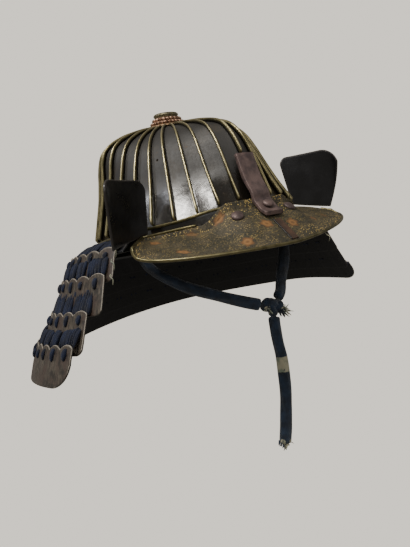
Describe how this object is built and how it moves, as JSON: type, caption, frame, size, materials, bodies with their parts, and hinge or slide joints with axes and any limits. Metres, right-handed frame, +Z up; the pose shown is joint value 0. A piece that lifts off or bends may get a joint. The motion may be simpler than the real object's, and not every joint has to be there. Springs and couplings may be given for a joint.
{
  "type": "samurai helmet",
  "caption": "Ribbed samurai helmet with a printed-leather visor, turned-back side flaps, a laced neck guard and a cloth chin cord",
  "frame": {"origin": "the seat of the head: the middle of the bowl's open rim, at the height of the trim line under the ribs", "axes": "+Z up through the crown, -Y where the wearer faces, +X to the wearer's left"},
  "size_m": [0.3993, 0.391, 0.3749],
  "materials": {
    "black_lacquer": "glossy black lacquer, worn",
    "brass": "aged, satin",
    "copper": "browned copper",
    "bronze": "olive bronze",
    "printed_leather": "olive-brown, printed",
    "brown_leather": "matte",
    "russet_iron": "russet, matte",
    "black_leather": "satin black lacquer",
    "lame_leather": "worn taupe lacquer",
    "navy_cloth": "faded indigo"
  },
  "bodies": {
    "root": {"bowl_shell": "black_lacquer", "rib_cover_01": "brass", "rib_cover_02": "brass", "rib_cover_03": "brass", "rib_cover_04": "brass", "rib_cover_05": "brass", "rib_cover_06": "brass", "rib_cover_07": "brass", "rib_cover_08": "brass", "rib_cover_09": "brass", "rib_cover_10": "brass", "rib_cover_11": "brass", "rib_cover_12": "brass", "rib_cover_13": "brass", "rib_cover_14": "brass", "rib_cover_15": "brass", "rib_cover_16": "brass", "rib_cover_17": "brass", "rib_cover_18": "brass", "rib_cover_19": "brass", "rib_cover_20": "brass", "rib_cover_21": "brass", "rib_cover_22": "brass", "rib_cover_23": "brass", "rib_cover_24": "brass", "rib_cover_25": "brass", "rib_cover_26": "brass", "rib_cover_27": "brass", "rib_cover_28": "brass", "rib_cover_29": "brass", "rib_cover_30": "brass", "rib_cover_31": "brass", "rib_cover_32": "brass", "rim_trim": "brass", "base_band": "black_lacquer", "crown_flange": "copper", "crown_beads_lower": "copper", "crown_beads_upper": "copper", "crown_ring": "bronze", "visor_plate": "printed_leather", "visor_rim": "brass", "visor_seam": "brown_leather", "crest_holder_bar": "russet_iron", "visor_rivet_centre": "russet_iron", "visor_rivet_right": "russet_iron", "visor_rivet_left": "russet_iron", "turnback_right": "black_leather", "turnback_left": "black_leather", "neck_plate": "black_leather", "neck_lame_1": "lame_leather", "neck_lame_2": "lame_leather", "neck_lame_3": "lame_leather", "neck_lame_4": "lame_leather", "chin_cord_right": "navy_cloth", "chin_cord_left": "navy_cloth", "chin_cord_tail": "navy_cloth", "chin_cord_knot": "navy_cloth"}
  },
  "joints": []
}
